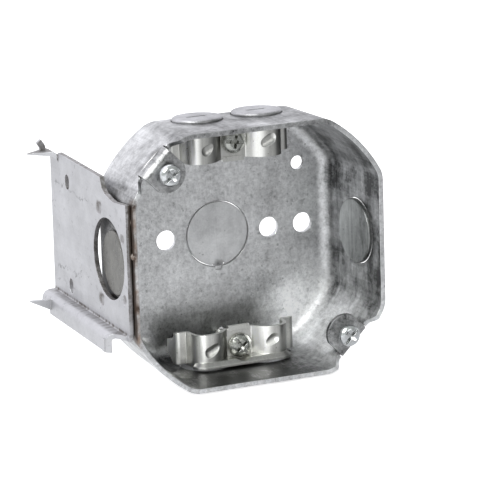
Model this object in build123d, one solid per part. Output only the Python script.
from build123d import *
import math
import os

# Octagonal steel outlet box with a stud bracket on its left wall.
# X right, Y from the opening into the box, Z up.  The opening faces -Y.
# The origin is the centre of the outer face of the back wall.
# A "depth" is measured from the rim toward the back, along Y.

# ------------------------------------------------------------------ sheet and box
DEPTH = 38.1                # rim to outer face of the back wall
HALF_X = 45.4               # half of the size across the side flats, at the rim
HALF_Z = 44.0               # half of the size across the top and bottom flats, at the rim
CORNER_R = 101.6 / 2        # the four corner arcs lie on one circle, at the rim
DRAFT = 2.2                 # degrees, walls close slightly toward the back
SHEET = 1.6                 # thickness of box and bracket
PLAN_ROUND = 9.0            # rounding between flats and corner arcs, outside
BACK_ROUND = 7.0            # rounding between walls and back, outside

# ------------------------------------------------------------------ ears
EAR_C = 88.9 / 2            # screw centre, along the diagonal
EAR_R = 6.6                 # rounded end
EAR_W = 12.4
EAR_DEPTH = 2.6             # front face
EAR_BEND = 3.0              # outside radius of the bend
EAR_FOOT = 9.5              # depth where the bent strip ends in the wall
SLIT_DEPTH = 6.6            # the slits beside the ear end here
# half of the notch in the rim at an ear: (across the diagonal, depth)
NOTCH_EDGE = [(11.2, 0.0), (10.3, 0.9), (9.1, 2.9), (8.0, 4.4), (6.7, 4.9)]

# ------------------------------------------------------------------ screws
SCREW_R = 2.08              # 8-32 machine screw
SCREW_PITCH = 0.794
THREAD_H = 0.36             # crest to root
BORE_GAP = 0.05             # radial clearance of a screw in its bore
COVER_HEAD = (3.75, 2.3)    # radius and height of a cover screw's head
COVER_SCREW_L = 12.7
COVER_SCREW_DEPTH = 0.12    # underside of the head
CLAMP_HEAD = (4.15, 2.7)
CLAMP_SCREW_L = 17.1
CLAMP_SCREW_Z = 35.4

# ------------------------------------------------------------------ back holes, knockouts
BACK_HOLES = (              # x, z, radius
    (-19.0, 0, 3.5),
    (19.0, 0, 3.5),
    (31.7, 0, 3.5),
    (30.4, 21.3, 2.4),      # ground screw
)
CONDUIT_R = 11.4            # back and side knockouts
SIDE_DEPTH = 16.8           # centres of the side knockouts
LEFT_PROUD = 1.15           # how far a disc stands outside the outer surface
RIGHT_PROUD = -1.35         # negative: struck into the box
BACK_PROUD = 0.2
CABLE_X = 10.8              # cable knockouts, top and bottom
CABLE_DEPTH = 25.3
CABLE_R = 8.9
CABLE_PROUD = 1.1
SHEAR_GAP = 0.28            # gap round a disc
PRY_L = 7.6                 # pry slot in a cable knockout
PRY_W = 1.1

# ------------------------------------------------------------------ cable clamps
CLAMP_T = 1.2
CLAMP_IN = 29.4             # inner edge, distance from the middle in Z
CLAMP_OUT = 41.0            # outer edge
CLAMP_FORWARD = 1.6         # clamps stand this far in front of the depths given here
CLAMP_FLAT = 22.4           # depth of the flat the screw head sits on
CLAMP_CROWN = 19.0          # depth of the saddles, middle of the sheet
FLANGE_OUT = 1.5            # flange stands this far in front of the saddles
# right half of the clamp's section, middle of the sheet: x, depth, bend radius
CLAMP_LINE = [
    (4.8, CLAMP_FLAT + CLAMP_T / 2, 1.0),
    (8.7, CLAMP_CROWN, 6.6),
    (16.3, CLAMP_CROWN, 4.0),
    (17.4, 26.4, 1.0),
    (21.1, 26.4, 1.2),
    (22.3, 31.0, None),
]

# ------------------------------------------------------------------ bracket
PLATE_IN = -45.6                    # x of the plate's face toward the box
PLATE_MID = PLATE_IN - SHEET / 2
PLATE_OUT = PLATE_IN - SHEET
BRACKET_NEAR = 1.2                  # depths of the bracket's ends
BRACKET_FAR = 70.3
PLATE_TOP = 28.1
NEAR_TOP = 23.0                     # top edge of the near part
FLANGE_Z = -22.3                    # lower flange, middle of the sheet
LIP_X = -51.3                       # lip, middle of the sheet
LIP_Z = -28.3                       # lower edge of the lip
LIP_NEAR = 10.2                     # depth where the lip starts
CURL_DEPTH = 62.6                   # the far top corner is curled from here on
FINGER_DEPTH = 68.9
TILT = 0.9                          # degrees, far end high
TILT_DEPTH = 15                     # depth of the axis of the tilt
WINDOW_DEPTH, WINDOW_Z, WINDOW_R = 17.6, 1.5, 13.8
NAIL_DEPTH = 54.3                   # nail slots
NAIL_W = 3.8
NAIL_L = 5.2
NAIL_ZS = (20.2, -16.2)
NEAR_WELDS = ((4.9, 10.9), (4.8, -9.6))         # depth, z
FAR_WELDS = ((25.1, 17.3), (25.7, -14.4))
NUGGET_R = 1.5

TAPER = math.tan(math.radians(DRAFT))


# ------------------------------------------------------------------ helpers
def y_at(depth):
    return depth - DEPTH


def block(x0, x1, y0, y1, z0, z1):
    """Box between pairs of limits, each pair in either order."""
    centre = Pos((x0 + x1) / 2, (y0 + y1) / 2, (z0 + z1) / 2)
    return centre * Box(abs(x1 - x0), abs(y1 - y0), abs(z1 - z0))


def y_cyl(x, z, radius, y0, y1):
    return Pos(x, (y0 + y1) / 2, z) * Rot(90, 0, 0) * Cylinder(radius, abs(y1 - y0))


def x_cyl(x0, x1, y, z, radius):
    return Pos((x0 + x1) / 2, y, z) * Rot(0, 90, 0) * Cylinder(radius, abs(x1 - x0))


def polygon(points):
    return make_face(Polyline(*points, close=True))


def side_face(points):
    """Polygon in the YZ plane from (depth, z) points."""
    plane = Plane((0, 0, 0), x_dir=(0, 1, 0), z_dir=(1, 0, 0))
    return plane * polygon([(y_at(depth), z) for depth, z in points])


def top_face(points):
    """Polygon in the XY plane from (x, depth) points."""
    return polygon([(x, y_at(depth)) for x, depth in points])


def run_back(face, depth, length):
    """Extrude a face drawn in (x, z) toward the back, starting at a depth."""
    plane = Plane((0, y_at(depth), 0), x_dir=(1, 0, 0), z_dir=(0, -1, 0))
    return plane * extrude(face, -length)


def both_halves(right_half):
    """Points (x, depth) of the right half, led by their mirror image in X."""
    return [(-x, depth) for x, depth in reversed(right_half)] + right_half


def sheet(points, radii, thickness):
    """Flat face of a bent strip: middle line through points, one radius per bend."""
    def unit(start, end):
        dx, dy = end[0] - start[0], end[1] - start[1]
        length = math.hypot(dx, dy)
        return dx / length, dy / length

    def offset(point, direction, distance):
        return point[0] - direction[1] * distance, point[1] + direction[0] * distance

    half = thickness / 2
    left, right = [], []            # runs of one point, or of three for an arc

    def add_end(point, direction):
        left.append([offset(point, direction, half)])
        right.append([offset(point, direction, -half)])

    add_end(points[0], unit(points[0], points[1]))
    for before, corner, after, radius in zip(points, points[1:], points[2:], radii):
        d1, d2 = unit(before, corner), unit(corner, after)
        turn = math.atan2(d1[0] * d2[1] - d1[1] * d2[0], d1[0] * d2[0] + d1[1] * d2[1])
        sign = 1 if turn > 0 else -1
        tangent = radius * math.tan(abs(turn) / 2)
        start = (corner[0] - d1[0] * tangent, corner[1] - d1[1] * tangent)
        centre = offset(start, d1, sign * radius)
        first_angle = math.atan2(start[1] - centre[1], start[0] - centre[0])
        for path, shift in ((left, half), (right, -half)):
            arc_r = radius - sign * shift
            angles = [first_angle + turn * part for part in (0, 0.5, 1)]
            path.append([(centre[0] + arc_r * math.cos(angle),
                          centre[1] + arc_r * math.sin(angle)) for angle in angles])
    add_end(points[-1], unit(points[-2], points[-1]))

    edges = []
    for path in (left, right):
        current = path[0][0]
        for run in path:
            if math.dist(current, run[0]) > 1e-6:
                edges.append(Line(current, run[0]))
            if len(run) == 3:
                edges.append(ThreePointArc(*run))
            current = run[-1]
    edges.append(Line(left[0][0], right[0][0]))
    edges.append(Line(left[-1][0], right[-1][0]))
    return make_face(Wire(edges))


def single(shape, name):
    """The one solid of a shape; a stray second solid is an error."""
    solids = shape.solids()
    if len(solids) != 1:
        raise ValueError(f"{name}: {len(solids)} solids")
    return solids[0]


# ------------------------------------------------------------------ knockouts
def wall_plane(side, along, depth):
    """Plane on the outer surface of a wall, its Z the outward normal."""
    c, s = math.cos(math.radians(DRAFT)), math.sin(math.radians(DRAFT))
    wall = (HALF_X if side in ("left", "right") else HALF_Z) - depth * TAPER
    y = y_at(depth)
    if side == "left":
        return Plane((-wall, y, along), x_dir=(0, 0, 1), z_dir=(-c, s, 0))
    if side == "right":
        return Plane((wall, y, along), x_dir=(0, 0, -1), z_dir=(c, s, 0))
    if side == "top":
        return Plane((along, y, wall), x_dir=(1, 0, 0), z_dir=(0, s, c))
    return Plane((along, y, -wall), x_dir=(1, 0, 0), z_dir=(0, s, -c))


def knockout_hole(plane, radius, proud, tie):
    """Hole of a knockout: the edge the shear came from is drawn over, and the
    wall has a small nick at the tie."""
    if proud < 0:
        struck_z, cone_radii = 0, (radius - 0.05, radius + 0.55)
    else:
        struck_z, cone_radii = -SHEET, (radius + 0.55, radius - 0.05)
    hole = Cylinder(radius, 8) + Pos(0, 0, struck_z) * Cone(*cone_radii, 0.6)
    hole += Rot(0, 0, tie) * Pos(radius + 0.3, 0, struck_z) * Box(1.9, 2.6, 1.4)
    return plane * hole


def knockout_disc(plane, radius, proud, tie, pry_slot):
    """Sheared disc, with a slit on either side of the tie."""
    disc = Pos(0, 0, proud - SHEET / 2) * Cylinder(radius - SHEAR_GAP, SHEET)
    if proud < 0:
        outer_round, inner_round = 0.2, 0.5
    else:
        outer_round, inner_round = (0.8 if proud > 0.5 else 0.3), 0.2
    disc = fillet(disc.edges().group_by(Axis.Z)[-1], outer_round)
    disc = fillet(disc.edges().group_by(Axis.Z)[0], inner_round)
    for side in (-1, 1):
        disc -= Rot(0, 0, tie + 11 * side) * Pos(radius, 0, 0) * Box(1.5, 0.7, 8)
    if pry_slot:
        straight = PRY_L - PRY_W
        slot = Box(straight, PRY_W, 12)
        for side in (1, -1):
            slot += Pos(side * straight / 2, 0, 0) * Cylinder(PRY_W / 2, 12)
        disc -= slot
    return plane * disc


# Name: plane, radius, proud, tie, pry slot.  The tie is the angle in the plane
# of the point where the disc still hangs on the wall; on back and sides it is
# at the bottom, on top and bottom walls at the right.
back_plane = Plane((0, 0, 0), x_dir=(0, 0, -1), z_dir=(0, 1, 0))
knockouts = {
    "back_knockout": (back_plane, CONDUIT_R, BACK_PROUD, 0, False),
    "right_knockout": (wall_plane("right", 0, SIDE_DEPTH), CONDUIT_R, RIGHT_PROUD, 0, False),
    "left_knockout": (wall_plane("left", 0, SIDE_DEPTH), CONDUIT_R, LEFT_PROUD, 180, False),
}
for wall in ("top", "bottom"):
    for hand, x in (("left", -CABLE_X), ("right", CABLE_X)):
        knockouts[f"{wall}_{hand}_cable_knockout"] = (
            wall_plane(wall, x, CABLE_DEPTH), CABLE_R, CABLE_PROUD, 0, True)


# ------------------------------------------------------------------ box shell
def drafted(inset, y_back, y_rim):
    """Tapered octagon, this far inside the outer surface, with a rounded back."""
    def section(y):
        """Rectangle with its corners cut by a circle."""
        shrink = inset + y_at(0) * -TAPER + y * TAPER
        outline = Circle(CORNER_R - shrink) & Rectangle(
            2 * (HALF_X - shrink), 2 * (HALF_Z - shrink))
        outline = fillet(outline.vertices(), PLAN_ROUND - inset)
        return Plane((0, y, 0), x_dir=(1, 0, 0), z_dir=(0, -1, 0)) * outline

    body = loft([section(y_back), section(y_rim)], ruled=True)
    return fillet(body.faces().sort_by(Axis.Y)[-1].edges(), BACK_ROUND - inset)


def ear_notch():
    """Cutter for the notch and slits at an ear, X outward along the diagonal."""
    above = y_at(-2)
    slit_end = y_at(SLIT_DEPTH)
    rim_point, *_, slit_point = edge = [(across, y_at(depth)) for across, depth in NOTCH_EDGE]
    slit_corner = (slit_point[0], slit_end)
    profile = make_face(Wire([
        Line((12.0, above), (0, above)),
        Line((0, above), (0, slit_end)),
        Line((0, slit_end), slit_corner),
        Line(slit_corner, slit_point),
        Spline(*edge),
        Line(rim_point, (12.0, above))]))
    # drawn with X across and Z along the diagonal; turned so that X is outward
    cutter = Pos(50, 0, 0) * (Rot(0, 90, 0) * extrude(profile, 8, both=True))
    return cutter + mirror(cutter, Plane.XY)


def ear_tongue():
    """Tongue of the corner wall folded inward, X outward along the diagonal."""
    wall_mid = CORNER_R - 0.5 - SHEET / 2
    ear_y = y_at(EAR_DEPTH) + SHEET / 2
    tongue = sheet([(wall_mid, y_at(EAR_FOOT)), (wall_mid, ear_y), (30, ear_y)],
                   [EAR_BEND - SHEET / 2], SHEET)
    tongue = extrude(tongue, EAR_W / 2, both=True)
    y0, y1 = y_at(-2), y_at(12)
    keep = block(EAR_C, 60, y0, y1, -EAR_W / 2, EAR_W / 2) + y_cyl(EAR_C, 0, EAR_R, y0, y1)
    for side in (-1, 1):
        keep = keep - block(0, 60, y_at(SLIT_DEPTH), y1, side * 20, side * EAR_W / 2)
    return tongue & keep


def box_shell(outer):
    shell = outer - drafted(SHEET, -SHEET, y_at(-1))
    for plane, radius, proud, tie, _ in knockouts.values():
        shell -= knockout_hole(plane, radius, proud, tie)

    bore_r = SCREW_R + BORE_GAP
    clamp_bores = ((0, CLAMP_SCREW_Z, bore_r), (0, -CLAMP_SCREW_Z, bore_r))
    for x, z, radius in BACK_HOLES + clamp_bores:
        shell -= y_cyl(x, z, radius, -4, 1)

    notch, tongue = ear_notch(), ear_tongue()
    ear_bore = y_cyl(EAR_C, 0, bore_r, y_at(-2), y_at(6))
    for turn in (-135, 45):                      # upper left, lower right
        spin = Rot(0, turn, 0)
        shell = shell - spin * notch
        shell = shell + spin * tongue
        shell = shell - spin * ear_bore
    return shell


# ------------------------------------------------------------------ screws
def screw(length, slot_angle, head_r, head_h):
    """Pan head machine screw on the Y axis: the head's underside at Y = 0, the
    head toward -Y, the shank toward +Y.  The head has a slot and a cross."""
    root_r = SCREW_R - THREAD_H
    neck_r, neck_l = SCREW_R - 0.25, 0.5
    tip = 0.35                                   # chamfer at the end of the shank
    points = [(0, 0), (neck_r, 0), (neck_r, neck_l)]
    y = neck_l
    for _ in range(int((length - 1.6) / SCREW_PITCH)):
        points += [(SCREW_R, y + SCREW_PITCH * 0.45), (SCREW_R, y + SCREW_PITCH * 0.55),
                   (root_r, y + SCREW_PITCH)]
        y += SCREW_PITCH
    points += [(root_r, length - tip), (root_r - tip, length), (0, length)]
    shank = revolve(polygon(points), Axis.Y)

    top = -head_h
    rim_low, rim_wide = (head_r - 0.25, 0), (head_r, -0.3)
    dome_start, dome_end = (head_r - 0.05, -0.95), (head_r - 2.0, top + 0.1)
    head = make_face(Wire([
        Line((0, 0), rim_low),
        Line(rim_low, rim_wide),
        Line(rim_wide, dome_start),
        ThreePointArc(dome_start, (head_r - 0.75, -1.85), dome_end),
        Line(dome_end, (0, top)),
        Line((0, top), (0, 0))]))
    head = revolve(head, Axis.Y)
    head -= Pos(0, top + 0.45, 0) * Box(12, 1.1, 1.15)          # slot along X
    for angle in (0, 90):                                       # tapering cross
        arm = polygon([(-2.35, top - 0.3), (2.35, top - 0.3), (2.2, top + 0.4),
                       (0.95, top + 1.75), (-0.95, top + 1.75), (-2.2, top + 0.4)])
        head -= Rot(0, angle, 0) * extrude(arm, 0.52, both=True)
    return Rot(0, -slot_angle, 0) * (head + shank)


EAR_X = EAR_C * math.sqrt(0.5)
CLAMP_SCREW_DEPTH = CLAMP_FLAT - CLAMP_FORWARD - 0.02
cover_kind = (COVER_SCREW_DEPTH, COVER_SCREW_L, COVER_HEAD)
clamp_kind = (CLAMP_SCREW_DEPTH, CLAMP_SCREW_L, CLAMP_HEAD)
screws = {                                       # x, z, slot angle, kind
    "cover_screw_upper_left": (-EAR_X, EAR_X, 36, cover_kind),
    "cover_screw_lower_right": (EAR_X, -EAR_X, 49, cover_kind),
    "upper_clamp_screw": (0, CLAMP_SCREW_Z, -8, clamp_kind),
    "lower_clamp_screw": (0, -CLAMP_SCREW_Z, -52, clamp_kind),
}


# ------------------------------------------------------------------ cable clamps
def clamp_flange(crown_y):
    """Flange along the outer edge, turned forward past the saddles, with the
    sloping web behind it."""
    front_y, rear_y = crown_y - FLANGE_OUT, y_at(26.2)
    plane = Plane((0, 0, -CLAMP_OUT), x_dir=(1, 0, 0), z_dir=(0, 0, 1))
    outline = plane * Pos(0, (front_y + rear_y) / 2) * Rectangle(36.0, rear_y - front_y)
    outline = fillet(outline.vertices().group_by(Axis.Y)[0], 4.2)
    flange = extrude(outline, 0.8) + extrude(Pos(0, 0, 0.8) * outline, 1.2, taper=50)
    # clear the room behind the sheet: x, depth
    behind = top_face(both_halves([(5.4, 23.9), (8.9, 20.4), (15.0, 20.4), (16.3, 25.6),
                                   (18.5, 25.6), (18.5, 30)]))
    flange -= Pos(0, 0, -CLAMP_OUT - 1) * extrude(behind, 6)
    flange -= y_cyl(0, -CLAMP_SCREW_Z, CLAMP_HEAD[0] + 0.35, y_at(5), y_at(CLAMP_FLAT))
    for side in (-1, 1):
        flange -= block(17.2 * side, 24 * side, y_at(20.6), y_at(34), -50, -30)
    return flange


def lower_clamp():
    line = both_halves([(x, depth) for x, depth, _ in CLAMP_LINE])
    bends = [bend for _, _, bend in CLAMP_LINE[:-1]]
    section = sheet([(x, y_at(depth)) for x, depth in line], bends[::-1] + bends, CLAMP_T)
    clamp = Pos(0, 0, -CLAMP_OUT) * extrude(section, CLAMP_OUT - CLAMP_IN)
    # gripping tip at each end is cut back at both sides: depth, z
    outer_cut = side_face([(26.6, -CLAMP_OUT - 1), (34, -CLAMP_OUT - 1), (34, -36.4),
                           (30.4, -36.6), (27.4, -41.2)])
    inner_cut = side_face([(27.2, -25), (34, -25), (34, -32.4), (28.4, -32.0), (27.3, -30.4)])
    for side in (-1, 1):
        for cut in (outer_cut, inner_cut):
            clamp -= Pos(21.6 * side, 0, 0) * extrude(cut, 2.2, both=True)
    # tab at the middle of the inner edge
    clamp += block(-3.9, 3.9, y_at(CLAMP_FLAT - 0.25), y_at(CLAMP_FLAT + CLAMP_T),
                   -CLAMP_IN - 0.8, -CLAMP_IN + 0.9)
    clamp -= y_cyl(0, -CLAMP_SCREW_Z, SCREW_R + 0.1, y_at(15), y_at(30))
    crown_y = y_at(CLAMP_CROWN - CLAMP_T / 2)
    clamp += clamp_flange(crown_y)
    # feet are cut back a little at the outer edge
    for side in (-1, 1):
        clamp -= block(17.9 * side, 24 * side, y_at(25.2), y_at(34),
                       -CLAMP_OUT - 1, -CLAMP_OUT + 0.7)
    # one slanting dimple on each saddle
    pill_r, pill_l = 3.0, 3.4
    for x, z in ((-11.0, -34.9), (9.6, -34.5)):
        pill = Cylinder(pill_r, pill_l)
        for end in (1, -1):
            pill += Pos(0, 0, end * pill_l / 2) * Sphere(pill_r)
        clamp -= Pos(x, crown_y - 2.35, z) * (Rot(0, 66, 0) * pill)
    return Pos(0, -CLAMP_FORWARD, 0) * single(clamp, "clamp")


# ------------------------------------------------------------------ bracket
def top_curl():
    """Barb curled outward from the far top corner of the plate."""
    curl_z = PLATE_TOP - SHEET / 2 + 0.4
    curl = sheet([(PLATE_MID, 21.4), (PLATE_MID, curl_z), (-56.2, curl_z)], [3.4], SHEET)
    curl = run_back(curl, CURL_DEPTH, BRACKET_FAR - CURL_DEPTH)
    point = top_face([(-40, CURL_DEPTH), (-47.6, CURL_DEPTH), (-50.4, 64.6), (-55.8, 69.6),
                      (-55.6, BRACKET_FAR), (-40, BRACKET_FAR)])
    curl = curl & extrude(point, 60)
    # thin the barb from above: x, z
    wedge = polygon([(-48.6, PLATE_TOP + 0.5), (-56.4, PLATE_TOP - 1.05),
                     (-58, PLATE_TOP - 1.05), (-58, PLATE_TOP + 3), (-48.6, PLATE_TOP + 3)])
    return curl - run_back(wedge, 60, 14)


def nail_slot(z):
    y, half_straight = y_at(NAIL_DEPTH), (NAIL_L - NAIL_W) / 2
    slot = block(-60, -40, y - NAIL_W / 2, y + NAIL_W / 2, z - half_straight, z + half_straight)
    for end in (1, -1):
        slot += x_cyl(-60, -40, y, z + end * half_straight, NAIL_W / 2)
    return slot


def weld_dimple(depth, z, stand_off, radius):
    """Ball centred this far outside the plate, pressed into it."""
    return Pos(PLATE_OUT - stand_off, y_at(depth), z) * Rot(0, 90, 20) * Sphere(radius)


def side_bracket():
    profile = sheet([(PLATE_MID, PLATE_TOP), (PLATE_MID, FLANGE_Z), (LIP_X, FLANGE_Z),
                     (LIP_X, LIP_Z)], [1.2, 2.2], SHEET)
    bracket = run_back(profile, BRACKET_NEAR, BRACKET_FAR - BRACKET_NEAR)
    # near part of the top edge is lower, and steps up along a slope: depth, z
    step = side_face([
        (0, 40), (0, NEAR_TOP + 0.3), (12.0, NEAR_TOP - 1.0), (14.5, NEAR_TOP - 0.8),
        (19.4, NEAR_TOP + 0.2), (22.0, NEAR_TOP + 1.6), (22.9, PLATE_TOP - 1.6),
        (23.4, PLATE_TOP), (23.4, 40)])
    bracket -= Pos(-60, 0, 0) * extrude(step, 20)
    # near end of the flange runs back at a slope, and the lip starts further in: x, depth
    slope = top_face([(PLATE_OUT - 0.2, 0), (-60, 0), (-60, LIP_NEAR), (LIP_X - 0.9, LIP_NEAR),
                      (LIP_X + 1.3, 8.6), (PLATE_OUT - 0.2, 3.4)])
    bracket -= Pos(0, 0, -40) * extrude(slope, 20.5)
    # far lower corner of the lip is cut free for its barb
    lip_corner = side_face([(63.2, -25.0), (80, -25.0), (80, -40), (63.2, -40)])
    bracket -= Pos(-60, 0, 0) * extrude(lip_corner, 20)
    # far top corner of the plate gives way to the curled barb
    bracket -= block(-60, -40, y_at(CURL_DEPTH), y_at(80), 22.4, 40)
    bracket += top_curl()
    # short finger standing up at the far end of the curl
    finger = sheet([(-50.2, PLATE_TOP - 0.6), (-50.3, PLATE_TOP + 1.2),
                    (-51.6, PLATE_TOP + 3.2)], [1.6], 2.0)
    bracket += run_back(finger, FINGER_DEPTH, BRACKET_FAR - FINGER_DEPTH)
    # barb bent out of the lip: x, z
    barb = polygon([(LIP_X, -22.9), (-59.4, -22.6), (-59.5, -22.9), (LIP_X - 0.4, -26.9),
                    (LIP_X, -26.9)])
    bracket += run_back(barb, 61.7, 1.4)
    # small outward turn at the near end of the lip
    bracket += block(LIP_X - 1.6, LIP_X, y_at(LIP_NEAR), y_at(11.8), -27.9, -23.6)

    tilt_y = y_at(TILT_DEPTH)
    bracket = Pos(0, tilt_y, 0) * Rot(TILT, 0, 0) * Pos(0, -tilt_y, 0) * bracket
    # opening round the left knockout
    bracket -= x_cyl(-60, -40, y_at(WINDOW_DEPTH), WINDOW_Z, WINDOW_R)
    for z in NAIL_ZS:
        bracket -= nail_slot(z)
    for depth, z in NEAR_WELDS:
        bracket -= weld_dimple(depth, z, 2.2, 2.85)
    for depth, z in FAR_WELDS:
        bracket -= weld_dimple(depth, z, 2.7, 3.5)
        bracket -= weld_dimple(depth - 1.3, z + 1.5, 1.7, 2.1)
    return bracket


def weld_nuggets(outer):
    """Short pins filling the gap between the plate and the box wall."""
    nuggets = []
    for depth, z in NEAR_WELDS + FAR_WELDS:
        wall_x = -(HALF_X - depth * TAPER)
        pin = x_cyl(PLATE_IN, wall_x + 1.0, y_at(depth), z, NUGGET_R) - outer
        nuggets.append(pin.solids().sort_by(Axis.X)[0])
    return sum(nuggets[1:], start=nuggets[0])


# ------------------------------------------------------------------ build and export
outer = drafted(0, 0, y_at(0))
parts = {"box_shell": single(box_shell(outer), "box_shell")}
for name, knockout in knockouts.items():
    parts[name] = single(knockout_disc(*knockout), name)
for name, (x, z, angle, (depth, length, head)) in screws.items():
    parts[name] = single(Pos(x, y_at(depth), z) * screw(length, angle, *head), name)
parts["lower_clamp"] = lower_clamp()
parts["upper_clamp"] = Rot(0, 180, 0) * parts["lower_clamp"]
parts["side_bracket"] = single(side_bracket(), "side_bracket")
parts["bracket_weld_nuggets"] = weld_nuggets(outer)

os.makedirs("parts", exist_ok=True)
for name, shape in parts.items():
    shape.label = name
    export_step(shape, f"parts/{name}.step")
